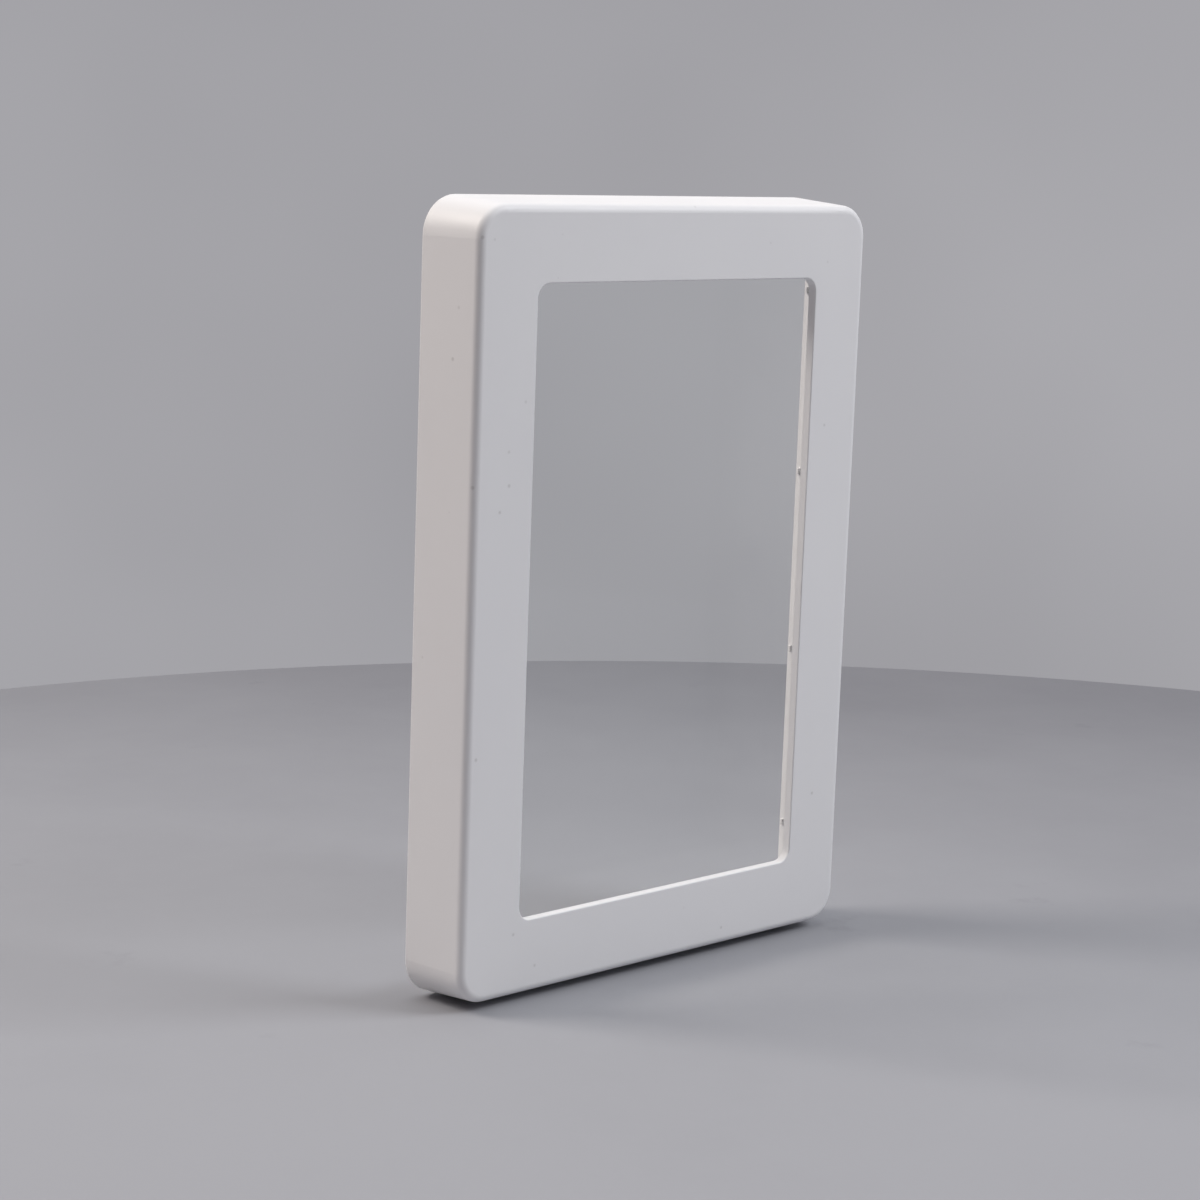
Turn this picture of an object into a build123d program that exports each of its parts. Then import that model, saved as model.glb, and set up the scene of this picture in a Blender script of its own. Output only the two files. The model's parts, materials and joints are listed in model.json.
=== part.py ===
from build123d import *
import os

# Digital photo frame, portrait, millimetres.
# X to the right seen from the front, Y to the back, Z up. The origin is under the middle of the frame, on
# the surface that it stands on. Depths are counted from the front face, and at() turns one into a Y.

# ---- shell ----
view_w = 107.0           # window width
view_h = 172.0           # window height
view_r = 4.0             # window corner radius
bar = 20.5               # width of the bar all round the window
depth = 21.5             # front face to rear rim
flare = 1.7              # how far each side leans out by the rear rim
wall = 3.4               # side walls
front_t = 2.6            # front wall
corner_r = 9.0           # outer corner radius at the front
edge_r = 2.3             # rounding along the front edge
rear_edge_r = 0.6        # rounding along the rear rim
view_edge_r = 0.4        # rounding along the window's front edge
feet_proud = 0.8         # rubber feet below the rear rim

# ---- display stack behind the front wall ----
gasket_t = 0.5
gasket_inset = 3.0       # gasket kept back from the window edge
panel_margin = 8.0       # panel beyond the window, each side
panel_t = 2.2
panel_r = 2.0
clip_t = 1.2
clip_w = 10.0
clip_grip = 2.0          # clip over the panel's border
clip_x = 46.0            # clips on the top and bottom bars
clip_z_step = 62.0       # clips on the side bars, from the middle one
boss_gap = 0.8           # panel edge to boss
boss_r = 2.5

# ---- screws ----
shank_r = 0.9
shank_clear = 0.05
head_r = 1.9
head_t = 1.4
recess_w = 0.5
recess_t = 0.6
clip_screw_l = 3.6
cover_screw_l = 8.0
board_screw_l = 2.6

# ---- rear covers and clear back ----
cover_t = 1.8
cover_recess = 0.5       # cover's outer face behind the rear rim
cover_clear = 0.15       # cover to shell wall
cover_boss_r = 2.6
seat_t = 0.6             # cover under a screw's head
cover_boss_in = 8.0      # boss centre from the shell's front corner, both ways
bottom_cover_h = 15.3    # top of the bottom cover's rear plate
shelf_t = 1.6
shelf_rise = 5.6         # bottom shelf's climb towards the display
shelf_gap = 0.4          # shelves behind the display
top_shelf_lift = 2.6     # top shelf above the window
back_t = 2.0
back_inset = 1.8         # clear back's rear face in front of the rear rim
back_clear = 0.3
nub_h = 1.8
nub_t = 0.8
nub_grip = 0.5
nub_step = 54.0

# ---- circuit board in the bottom bar ----
board_l = 88.0
board_t = 1.2
board_z = 6.6
board_front = 5.4
board_to_cover = 2.6     # board's rear edge in front of the cover
board_boss_r = 2.4
board_screw_places = ((-36.3, 12.0), (41.2, 15.0))   # each an X and a depth
board_screw_clear = 0.2
part_gap = 0.1
shield_x = -27.5         # shielding can over the processor
shield_w = 13.0
shield_l = 9.0
shield_h = 1.8
shield_t = 0.3
shield_d = 10.7
shield_vents = 3
shield_vent_r = 0.5
shield_vent_pitch = 3.5
processor_w = 8.0
processor_l = 7.0
processor_h = 1.0
memory_x = 0.7
memory_w = 7.8
memory_l = 2.8
memory_h = 0.9
memory_d = 6.4
memory_pitch = 3.6
coil_x = 36.5
coil_w = 3.8
coil_h = 2.2
coil_d = 6.4
capacitor_count = 4
capacitor_pitch = 1.9
capacitor_w = 1.0
capacitor_h = 0.8
ribbon_x = 20.0
ribbon_w = 24.0
ribbon_t = 0.2
ribbon_bend = 1.2
ribbon_conn_d = 8.0
ribbon_conn_l = 3.0
ribbon_conn_h = 1.6

# ---- inlets, switches and buttons ----
usb_x = 0.0
usb_w = 8.94
usb_h = 3.26
usb_l = 7.35
usb_wall = 0.3
usb_recess = 0.7         # mouth in front of the rear rim
card_x = -13.0
card_w = 11.0
card_l = 15.0
card_t = 0.8
card_step_w = 1.4        # narrower part at the card's front end
card_step_l = 6.0
card_proud = 0.3         # card's rear end in front of the rear rim
card_clear = 0.15
card_socket_wall = 0.4
button_x = (12.0, 20.0, 28.0, 36.0)
button_names = ("power_button", "menu_button", "previous_button", "next_button")
button_z = 10.6
button_r = 2.4
button_clear = 0.15
button_travel = 0.5
button_proud = 0.3
flange_r = 3.0
flange_t = 0.9
stem_r = 0.9
switch_w = 4.6
switch_d = 3.4
switch_h = 4.2
plunger_r = 0.7
plunger_l = 0.6
light_x = 7.0
light_r = 0.9
led_w = 1.6
led_l = 1.2
led_back = 1.4           # light in front of the board's rear edge
pipe_collar = 0.5        # light pipe's collar beyond its bore, and its length below
pipe_collar_l = 0.8

# ---- speakers ----
speaker_x = 53.5
speaker_w = 17.0
speaker_h = 7.6
speaker_t = 4.6
grille_slots = 5
grille_pitch = 2.6
grille_w = 1.1
grille_h = 5.6
cone_rim = 2.0           # speaker's rim beyond its cone, at the sides
cone_rim_h = 1.2
cone_deep = 1.2
cone_dome = 0.6

# ---- top bar: battery, antenna, keyholes ----
battery_l = 80.0
battery_t = 7.4
battery_h = 10.6
battery_front = 9.6
pad_t = 0.7
pad_w = 16.0
pad_inset = 1.5
keyhole_x = 56.0
keyhole_entry_r = 4.0
keyhole_slot_w = 4.2
keyhole_rise = 5.0
keyhole_z_up = 5.0       # entry centre above the shelf
plate_t = 1.0
plate_w = 14.0
stake_r = 0.8
antenna_w = 34.0
antenna_h = 5.0
antenna_t = 0.4
vent_count = 9
vent_pitch = 4.0
vent_w = 1.2
vent_h = 7.0

# ---- leads down the left bar ----
lead_r = 0.7
coax_r = 0.55
coax_turn = 2.0
lead_depths = (10.3, 12.1, 13.9)
lead_names = ("battery_lead_red", "battery_lead_black", "antenna_lead")
lead_bend = 5.0
lead_x = 69.9
hook_h = 5.0
hook_clear = 0.1
connector_h = 2.8

# ---- feet ----
foot_pad_x = 55.0
foot_pad_w = 10.0
foot_pad_l = 5.0
foot_pad_h = 3.1
foot_back = 7.0          # front feet behind the front face
prop_l = 58.0
prop_w = 3.6
prop_lift = 0.1
prop_head = 0.45         # prop foot below the bottom cover
prop_gap = 0.4
nail_gap = 4.0           # room for a fingernail at the prop foot's free end
pin_r = 0.8
pin_clear = 0.05
pin_up = 4.2

# ---- places worked out from the sizes above ----
front_w = view_w + 2 * bar
front_h = view_h + 2 * bar
front_z = feet_proud + flare
mid_z = front_z + front_h / 2
view_low = front_z + bar
view_high = view_low + view_h
cover_back = depth - cover_recess
cover_front = cover_back - cover_t
screw_seat = cover_front + seat_t
board_back = cover_front - board_to_cover
prop_h = feet_proud + wall + cover_clear - prop_head - prop_lift
panel_front = front_t + gasket_t
panel_back = panel_front + panel_t
panel_w = view_w + 2 * panel_margin
panel_h = view_h + 2 * panel_margin
boss_out = boss_gap + boss_r
back_rear = depth - back_inset
back_front = back_rear - back_t
shelf_front = panel_back + shelf_gap
top_shelf_z = view_high + top_shelf_lift
board_top = board_z + board_t
boss_x = front_w / 2 - cover_boss_in
boss_low = front_z + cover_boss_in
boss_high = front_z + front_h - cover_boss_in
overshoot = 1.0


def at(d):
    return d - depth / 2


def lean(d):
    return flare * d / depth


def block(x0, x1, d0, d1, z0, z1):
    size = (x1 - x0, d1 - d0, z1 - z0)
    return Pos((x0 + x1) / 2, at((d0 + d1) / 2), (z0 + z1) / 2) * Box(*size)


def rod_y(r, x, z, d0, d1):
    return Pos(x, at((d0 + d1) / 2), z) * Rot(90, 0, 0) * Cylinder(r, d1 - d0)


def rod_z(r, x, d, z0, z1):
    return Pos(x, at(d), (z0 + z1) / 2) * Cylinder(r, z1 - z0)


def facing(x, z, d):
    """Plane across the depth, seen from the front, with its normal towards the viewer."""
    return Plane(origin=(x, at(d), z), x_dir=(1, 0, 0), z_dir=(0, -1, 0))


def slab(w, h, r, d0, d1, x=0.0, z=mid_z):
    return extrude(facing(x, z, d1) * RectangleRounded(w, h, r), amount=d1 - d0)


def profile_x(points, x0, x1):
    """Outline of depths and heights, run along X."""
    side = Plane(origin=(x0, 0, 0), x_dir=(0, 1, 0), z_dir=(1, 0, 0))
    outline = Polygon(*[(at(d), z) for d, z in points], align=None)
    return extrude(side * outline, amount=x1 - x0)


def leaning_block(inset, d0, d1):
    """The shell's leaning outline, moved in by inset, from one depth to another."""
    faces = []
    for d in (d0, d1):
        w = front_w + 2 * lean(d) - 2 * inset
        h = front_h + 2 * lean(d) - 2 * inset
        faces.append(facing(0, mid_z, d) * RectangleRounded(w, h, corner_r + lean(d) - inset))
    return loft(faces, ruled=True)


def wall_x(d):
    """Half the hollow's width at a depth."""
    return front_w / 2 + lean(d) - wall


def wall_z(d):
    """Top of the bottom wall at a depth."""
    return front_z - lean(d) + wall


def clip_places():
    """Centre of each clip's boss, and the direction from it to the display."""
    side = panel_w / 2 + boss_out
    high = panel_h / 2 + boss_out
    places = []
    for s in (-1, 1):
        for k in (-1, 0, 1):
            places.append((s * side, mid_z + k * clip_z_step, -s, 0))
        for x in (-clip_x, clip_x):
            places.append((x, mid_z + s * high, 0, -s))
    return places


def cover_screw_places():
    return [(x, z) for z in (boss_low, boss_high) for x in (-boss_x, boss_x)]


def nub_heights():
    return [mid_z + (k - 1.5) * nub_step for k in range(4)]


def keyhole_z():
    return top_shelf_z + shelf_t + keyhole_z_up


def screw(length):
    """Pan-head screw along +Z, with the underside of its head at zero and a cross in its head."""
    body = Pos(0, 0, head_t / 2) * Cylinder(head_r, head_t)
    body = fillet(body.edges().group_by(Axis.Z)[-1], head_t * 0.35)
    body += Pos(0, 0, -length / 2) * Cylinder(shank_r, length)
    arm = head_r * 1.2
    top = head_t - recess_t / 2
    body -= Pos(0, 0, top) * Box(arm, recess_w, recess_t)
    body -= Pos(0, 0, top) * Box(recess_w, arm, recess_t)
    return body


def rear_screw(length, x, z, d):
    """A screw driven in from the back, its head resting at depth d."""
    return Pos(x, at(d), z) * Rot(-90, 0, 0) * screw(length)


# ---- shell ----

def prop_pocket():
    half = prop_l / 2 + prop_gap
    front = depth - prop_w - 2 * prop_gap
    return block(-half, half + nail_gap, front, depth + overshoot, -overshoot, wall_z(depth) + wall)


def foot_pads():
    pads = []
    front_d = foot_back + foot_pad_l / 2
    rear_d = depth - rear_edge_r - prop_gap - foot_pad_l / 2
    for x in (-foot_pad_x, foot_pad_x):
        for d in (front_d, rear_d):
            pad = Box(foot_pad_w, foot_pad_l, foot_pad_h)
            pad = fillet(pad.edges().filter_by(Axis.Z), 1.5)
            pads.append(Pos(x, at(d), foot_pad_h / 2) * pad)
    return pads


def lead_hook(z):
    """A block on the left wall with a bore for each lead."""
    first = lead_depths[0] - lead_r - 1.0
    last = lead_depths[-1] + lead_r + 1.0
    outer = -wall_x(first) - wall / 2
    inner = -lead_x + lead_r + 0.8
    hook = block(outer, inner, first, last, z - hook_h / 2, z + hook_h / 2)
    for d in lead_depths:
        hook -= rod_z(lead_r + hook_clear, -lead_x, d, z - hook_h, z + hook_h)
    return hook


def front_shell():
    shell = leaning_block(0, 0, depth)
    edges_by_depth = shell.edges().group_by(Axis.Y)
    shell = fillet(edges_by_depth[0], edge_r)
    shell = fillet(shell.edges().group_by(Axis.Y)[-1], rear_edge_r)
    shell -= leaning_block(wall, front_t, depth + overshoot)
    shell -= slab(view_w, view_h, view_r, -overshoot, front_t + overshoot)
    face = shell.faces().sort_by(Axis.Y)[0]
    shell = fillet(face.inner_wires()[0].edges(), view_edge_r)
    root = front_t - 0.5
    for x, z, _, _ in clip_places():
        shell += rod_y(boss_r, x, z, root, panel_back)
        shell -= rod_y(shank_r + shank_clear, x, z, front_t, panel_back + overshoot)
    for x, z in cover_screw_places():
        shell += rod_y(cover_boss_r, x, z, root, cover_front)
        shell -= rod_y(shank_r + shank_clear, x, z, screw_seat - cover_screw_l - 0.5, depth + overshoot)
    for x, d in board_screw_places:
        shell += rod_z(board_boss_r, x, d, wall_z(d) - wall / 2, board_z)
        shell -= rod_z(shank_r + shank_clear, x, d, board_top - board_screw_l - 0.3, board_z + overshoot)
    for z in nub_heights():
        for s in (-1, 1):
            inner = wall_x(back_front) - back_clear - nub_grip
            outer = wall_x(back_front) + wall / 2
            x0, x1 = sorted((s * inner, s * outer))
            shell += block(x0, x1, back_front - nub_t, back_front, z - nub_h / 2, z + nub_h / 2)
            shell += block(x0, x1, back_rear, back_rear + nub_t, z - nub_h / 2, z + nub_h / 2)
    for k in (-1, 1):
        shell += lead_hook(mid_z + k * clip_z_step / 2)
    for pad in foot_pads():
        shell -= pad
    shell -= prop_pocket()
    return shell


# ---- display ----

def display_gasket():
    ring = slab(panel_w, panel_h, panel_r, front_t, panel_front)
    hole_w = view_w + 2 * gasket_inset
    hole_h = view_h + 2 * gasket_inset
    return ring - slab(hole_w, hole_h, view_r, front_t - overshoot, panel_front + overshoot)


def display_panel():
    panel = slab(panel_w, panel_h, panel_r, panel_front, panel_back)
    return chamfer(panel.edges().group_by(Axis.Y)[-1], 0.2)


def panel_clips():
    clips = []
    for x, z, ux, uz in clip_places():
        reach = boss_out + clip_grip
        long = reach + boss_r
        shift = (reach - boss_r) / 2
        w = long if ux else clip_w
        h = clip_w if ux else long
        clip = slab(w, h, 1.0, panel_back, panel_back + clip_t, x + ux * shift, z + uz * shift)
        clip -= rod_y(shank_r + 0.15, x, z, panel_back - 1, panel_back + clip_t + 1)
        clips.append(clip)
    return clips


def clip_screws():
    return [rear_screw(clip_screw_l, x, z, panel_back + clip_t) for x, z, _, _ in clip_places()]


# ---- circuit board ----

def main_board():
    board = block(-board_l / 2, board_l / 2, board_front, board_back, board_z, board_top)
    for x, d in board_screw_places:
        board -= rod_z(shank_r + board_screw_clear, x, d, board_z - overshoot, board_top + overshoot)
    return board


def board_screws():
    return [Pos(x, at(d), board_top) * screw(board_screw_l) for x, d in board_screw_places]


def processor_shield():
    """Pressed can over the processor, open towards the board."""
    x0 = shield_x - shield_w / 2
    x1 = shield_x + shield_w / 2
    d0 = shield_d - shield_l / 2
    d1 = shield_d + shield_l / 2
    can = block(x0, x1, d0, d1, board_top, board_top + shield_h)
    can = fillet(can.edges().group_by(Axis.Z)[-1], 0.4)
    can -= block(x0 + shield_t, x1 - shield_t, d0 + shield_t, d1 - shield_t,
                 board_top - overshoot, board_top + shield_h - shield_t)
    first = shield_x - (shield_vents - 1) / 2 * shield_vent_pitch
    for k in range(shield_vents):
        x = first + k * shield_vent_pitch
        can -= rod_z(shield_vent_r, x, shield_d, board_top, board_top + shield_h + overshoot)
    return can


def processor():
    half_w = processor_w / 2
    half_l = processor_l / 2
    return block(shield_x - half_w, shield_x + half_w, shield_d - half_l, shield_d + half_l,
                 board_top, board_top + processor_h)


def memory_chips():
    chips = []
    for k in range(2):
        d = memory_d + k * memory_pitch
        chips.append(block(memory_x - memory_w / 2, memory_x + memory_w / 2, d, d + memory_l,
                           board_top, board_top + memory_h))
    return chips


def power_parts():
    """A square coil, and the row of capacitors behind it."""
    left = coil_x - coil_w / 2
    parts = [block(left, left + coil_w, coil_d, coil_d + coil_w, board_top, board_top + coil_h)]
    d = coil_d + coil_w + capacitor_h
    for k in range(capacitor_count):
        x = left + 0.2 + k * capacitor_pitch
        parts.append(block(x, x + capacitor_w, d, d + capacitor_h, board_top, board_top + capacitor_h))
    return parts


def ribbon_connector():
    half = ribbon_w / 2 + 1.2
    body = block(ribbon_x - half, ribbon_x + half, ribbon_conn_d, ribbon_conn_d + ribbon_conn_l,
                 board_top, board_top + ribbon_conn_h)
    z = board_top + ribbon_conn_h / 2
    half = ribbon_w / 2 + part_gap
    return body - block(ribbon_x - half, ribbon_x + half, ribbon_conn_d - 1, ribbon_conn_d + 2.0,
                        z - ribbon_t / 2, z + ribbon_t / 2)


def display_ribbon():
    """Flat cable from the back of the display's lower border, round one bend and into its connector."""
    z = board_top + ribbon_conn_h / 2
    top = mid_z - panel_h / 2 + 3.0
    d = panel_back + ribbon_t / 2
    middle = Plane(origin=(ribbon_x, 0, 0), x_dir=(0, 1, 0), z_dir=(1, 0, 0))
    path = FilletPolyline((at(d), top), (at(d), z), (at(ribbon_conn_d + 1.9), z), radius=ribbon_bend)
    strip = trace(path, line_width=ribbon_t)
    return extrude(middle * strip, amount=ribbon_w / 2, both=True)


def lead_connector():
    first = lead_depths[0] - 1.4
    last = lead_depths[-1] + 1.4
    return block(-board_l / 2 + 0.4, -board_l / 2 + 5.4, first, last, board_top, board_top + connector_h)


def usb_c_socket():
    """Inlet shell with its tongue, open to the back."""
    z = board_top + usb_h / 2
    mouth = depth - usb_recess
    shell = slab(usb_w, usb_h, usb_h / 2 - 0.05, mouth - usb_l, mouth, usb_x, z)
    bore_h = usb_h - 2 * usb_wall
    shell -= slab(usb_w - 2 * usb_wall, bore_h, bore_h / 2 - 0.05, mouth - usb_l + 1.5, mouth + 1, usb_x, z)
    return shell + block(usb_x - 3.3, usb_x + 3.3, mouth - usb_l + 1, mouth - 1.0, z - 0.35, z + 0.35)


def card_place():
    """Depth of the card's front end and the height of its underside."""
    return depth - card_proud - card_l, board_top + card_socket_wall + card_clear


def card_socket():
    front, low = card_place()
    half = card_w / 2 + card_clear + card_socket_wall
    high = low + card_t + card_clear + card_socket_wall
    body = block(card_x - half, card_x + half, front - 1.0, cover_front - part_gap, board_top, high)
    half = card_w / 2 + card_clear
    return body - block(card_x - half, card_x + half, front - card_clear, depth,
                        low - card_clear, low + card_t + card_clear)


def memory_card():
    front, low = card_place()
    card = block(card_x - card_w / 2, card_x + card_w / 2, front, front + card_l, low, low + card_t)
    step_x = card_x + card_w / 2 - card_step_w
    return card - block(step_x, card_x + card_w, front - overshoot, front + card_step_l,
                        low - overshoot, low + card_t + overshoot)


def tact_switches():
    switches = []
    back = button_stem_end() - part_gap - button_travel - plunger_l
    for x in button_x:
        body = block(x - switch_w / 2, x + switch_w / 2, back - switch_d, back,
                     board_top, board_top + switch_h)
        switches.append(body + rod_y(plunger_r, x, button_z, back - 0.5, back + plunger_l))
    return switches


def button_stem_end():
    return cover_front - part_gap - flange_t - 0.4


def button(x):
    """Cap through the cover, with a flange behind it and a short stem towards its switch."""
    flange_back = cover_front - part_gap
    cap = rod_y(button_r, x, button_z, flange_back - 0.2, cover_back + button_proud)
    cap = fillet(cap.edges().group_by(Axis.Y)[-1], 0.4)
    cap += rod_y(flange_r, x, button_z, flange_back - flange_t, flange_back)
    return cap + rod_y(stem_r, x, button_z, button_stem_end(), flange_back - flange_t + 0.2)


def status_light():
    back = board_back - led_back
    return block(light_x - led_w / 2, light_x + led_w / 2, back - led_l, back,
                 board_top, button_z + led_w / 2)


def light_pipe():
    """Clear rod from the light to the cover's outer face, with a collar behind the cover."""
    pipe = rod_y(light_r, light_x, button_z, board_back - led_back + part_gap, cover_back)
    return pipe + rod_y(light_r + pipe_collar, light_x, button_z, cover_front - pipe_collar_l, cover_front)


# ---- speakers ----

def speaker_z():
    return board_z + 3.4


def speaker(side):
    x = side * speaker_x
    z = speaker_z()
    box = block(x - speaker_w / 2, x + speaker_w / 2, cover_front - speaker_t, cover_front,
                z - speaker_h / 2, z + speaker_h / 2)
    box = fillet(box.edges().filter_by(Axis.Y), 1.2)
    cone_w = speaker_w - 2 * cone_rim
    cone_h = speaker_h - 2 * cone_rim_h
    box -= slab(cone_w, cone_h, 2.5, cover_front - cone_deep, cover_front + overshoot, x, z)
    dome = slab(cone_w - 2, cone_h - 1.8, 1.6, cover_front - cone_deep - 0.4, cover_front - cone_dome, x, z)
    return box + dome


# ---- covers ----

def hollow():
    return leaning_block(wall + cover_clear, front_t, depth)


def lead_notch(z0, z1):
    first = lead_depths[0] - lead_r - 0.6
    last = lead_depths[-1] + lead_r + 0.6
    return block(-front_w, -lead_x + lead_r + 0.5, first, last, z0, z1)


def screw_hole(x, z):
    """Hole through a cover, with a pocket that takes the screw's head."""
    hole = rod_y(shank_r + 0.2, x, z, cover_front - overshoot, depth)
    return hole + rod_y(head_r + 0.2, x, z, screw_seat, depth)


def grille(side):
    x = side * speaker_x
    first = -(grille_slots - 1) / 2
    slots = []
    for k in range(grille_slots):
        slots.append(slab(grille_w, grille_h, grille_w / 2 - 0.01, cover_front - 1, cover_back + 1,
                          x + (first + k) * grille_pitch, speaker_z()))
    return slots


def pin_place():
    return -prop_l / 2 + prop_w / 2, depth - prop_gap / 2 - prop_w / 2


def pin_block():
    x, d = pin_place()
    half = pin_r + 1.6
    low = wall_z(depth) + 2 * cover_clear
    return block(x - half, x + half, d - half, cover_back, low, low + pin_up)


def bottom_cover():
    low = wall_z(depth) + cover_clear
    plate = block(-front_w, front_w, cover_front, cover_back, low, bottom_cover_h)
    slope = shelf_rise / (cover_back - shelf_front)
    shelf = profile_x([(cover_back, bottom_cover_h - shelf_t), (cover_back, bottom_cover_h),
                       (shelf_front, bottom_cover_h + slope * (cover_back - shelf_front)),
                       (shelf_front, bottom_cover_h + slope * (cover_back - shelf_front) - shelf_t)],
                      -front_w, front_w)
    cover = (plate + shelf) & hollow()
    cover += pin_block()
    cover -= lead_notch(bottom_cover_h - shelf_t - 1, bottom_cover_h + shelf_rise + 1)
    for x, z in cover_screw_places()[:2]:
        cover -= screw_hole(x, z)
    for side in (-1, 1):
        for slot in grille(side):
            cover -= slot
    for x in button_x:
        cover -= rod_y(button_r + button_clear, x, button_z, cover_front - 1, cover_back + 1)
    cover -= rod_y(light_r + 0.05, light_x, button_z, cover_front - 1, cover_back + 1)
    z = board_top + usb_h / 2
    cover -= slab(usb_w + 0.4, usb_h + 0.4, usb_h / 2 + 0.15, cover_front - 1, cover_back + 1, usb_x, z)
    _, card_low = card_place()
    half = card_w / 2 + 0.3
    cover -= block(card_x - half, card_x + half, cover_front - 1, cover_back + 1,
                   card_low - 0.3, card_low + card_t + 0.3)
    scoop = Pos(card_x, at(cover_back + 1.6), card_low + card_t / 2) * Sphere(2.8)
    cover -= scoop & block(-front_w, front_w, cover_front + 0.8, cover_back + 2, 0, bottom_cover_h)
    pin_x, pin_d = pin_place()
    return cover - rod_z(pin_r, pin_x, pin_d, 0, wall_z(depth) + pin_up - 0.6)


def keyhole(x, d0, d1, entry_r, slot_w):
    z = keyhole_z()
    hole = rod_y(entry_r, x, z, d0, d1)
    hole += rod_y(slot_w / 2, x, z + keyhole_rise, d0, d1)
    return hole + block(x - slot_w / 2, x + slot_w / 2, d0, d1, z, z + keyhole_rise)


def stake_places(x):
    out = plate_w / 2 - 1.5
    return [(x - out, keyhole_z() + keyhole_rise - 1.5), (x + out, keyhole_z() + keyhole_rise - 1.5)]


def top_cover():
    low = top_shelf_z
    plate = block(-front_w, front_w, cover_front, cover_back, low, low + front_h)
    shelf = block(-front_w, front_w, shelf_front, cover_back, low, low + shelf_t)
    cover = (plate + shelf) & hollow()
    cover -= lead_notch(low - 1, low + shelf_t + 1)
    for x, z in cover_screw_places()[2:]:
        cover -= screw_hole(x, z)
    for side in (-1, 1):
        x = side * keyhole_x
        cover -= keyhole(x, cover_front - 1, cover_back + 1, keyhole_entry_r + 0.3, keyhole_slot_w + 0.6)
        for sx, sz in stake_places(x):
            cover += rod_y(stake_r, sx, sz, cover_front - plate_t - 0.5, cover_front + 0.5)
            cover += rod_y(stake_r + 0.5, sx, sz, cover_front - plate_t - 0.5, cover_front - plate_t)
    first = -(vent_count - 1) / 2
    for k in range(vent_count):
        cover -= slab(vent_w, vent_h, vent_w / 2 - 0.01, cover_front - overshoot, cover_back + overshoot,
                      (first + k) * vent_pitch, low + shelf_t + battery_h / 2)
    return cover


def keyhole_plates():
    plates = []
    low = top_shelf_z + shelf_t + 0.2
    high = keyhole_z() + keyhole_rise + keyhole_slot_w / 2 + 1.2
    for side in (-1, 1):
        x = side * keyhole_x
        plate = slab(plate_w, high - low, 1.0, cover_front - plate_t, cover_front, x, (low + high) / 2)
        plate -= keyhole(x, cover_front - 2 * plate_t, cover_front + 1, keyhole_entry_r, keyhole_slot_w)
        for sx, sz in stake_places(x):
            plate -= rod_y(stake_r, sx, sz, cover_front - 2 * plate_t, cover_front + 1)
        plates.append(plate)
    return plates


def cover_screws():
    return [rear_screw(cover_screw_l, x, z, screw_seat) for x, z in cover_screw_places()]


def back_panel():
    low = bottom_cover_h + shelf_rise * (cover_back - back_front) / (cover_back - shelf_front) + back_clear
    high = top_shelf_z - back_clear
    w = 2 * (wall_x(back_front) - back_clear)
    return slab(w, high - low, 0.8, back_front, back_rear, 0, (low + high) / 2)


# ---- top bar ----

def battery_pack():
    low = top_shelf_z + shelf_t + pad_t
    pack = block(-battery_l / 2, battery_l / 2, battery_front, battery_front + battery_t,
                 low, low + battery_h)
    return fillet(pack.edges().filter_by(Axis.X), 1.2)


def battery_pads():
    low = top_shelf_z + shelf_t
    pads = []
    for x in (-battery_l / 4, battery_l / 4):
        pads.append(block(x - pad_w / 2, x + pad_w / 2, battery_front + pad_inset,
                          battery_front + battery_t - pad_inset, low, low + pad_t))
    return pads


def wifi_antenna():
    low = top_shelf_z + shelf_t + battery_h - 2.0
    left = -battery_l / 2
    return block(left, left + antenna_w, cover_front - antenna_t, cover_front, low, low + antenna_h)


# ---- leads ----

def lead(k):
    """One lead from the top bar, down the left bar through its hooks, to the board's connector."""
    y = at(lead_depths[k])
    r = lead_r
    high = front_z + front_h - corner_r + lead_bend
    low = front_z + corner_r - lead_bend
    plug_z = board_top + connector_h / 2
    plug_x = -board_l / 2 + 0.4
    points = [(-battery_l / 2, y, high)]
    radii = []
    if lead_names[k] == "antenna_lead":
        r = coax_r
        antenna_y = at(cover_front - antenna_t - coax_r)
        turn_x = -battery_l / 2 - 5.0
        points = [(turn_x + 7.0, antenna_y, high), (turn_x, antenna_y, high), (turn_x, y, high)]
        radii = [coax_turn, coax_turn]
    points += [(-lead_x, y, high), (-lead_x, y, low), (-lead_x + 13.0, y, low)]
    points += [(plug_x - 5.0, y, plug_z), (plug_x, y, plug_z)]
    radii += [lead_bend, lead_bend, 5.0, 4.0]
    path = FilletPolyline(*points, radius=radii)
    section = Plane(origin=path @ 0, z_dir=path % 0) * Circle(r)
    return sweep(section, path=path)


# ---- prop foot ----

def prop_foot():
    x, d = pin_place()
    foot = block(x, x + prop_l - prop_w, d - prop_w / 2, d + prop_w / 2, prop_lift, prop_lift + prop_h)
    foot += rod_z(prop_w / 2, x, d, prop_lift, prop_lift + prop_h)
    foot += rod_z(prop_w / 2, x + prop_l - prop_w, d, prop_lift, prop_lift + prop_h)
    foot -= rod_z(pin_r + pin_clear, x, d, prop_lift - 1, prop_lift + prop_h + 1)
    return foot - rod_z(pin_r + 0.8, x, d, prop_lift - 1, prop_lift + 1.0)


def foot_pin():
    x, d = pin_place()
    pin = rod_z(pin_r, x, d, prop_lift + 0.3, wall_z(depth) + pin_up - 0.6)
    return pin + rod_z(pin_r + 0.6, x, d, prop_lift + 0.2, prop_lift + 0.9)


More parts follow.
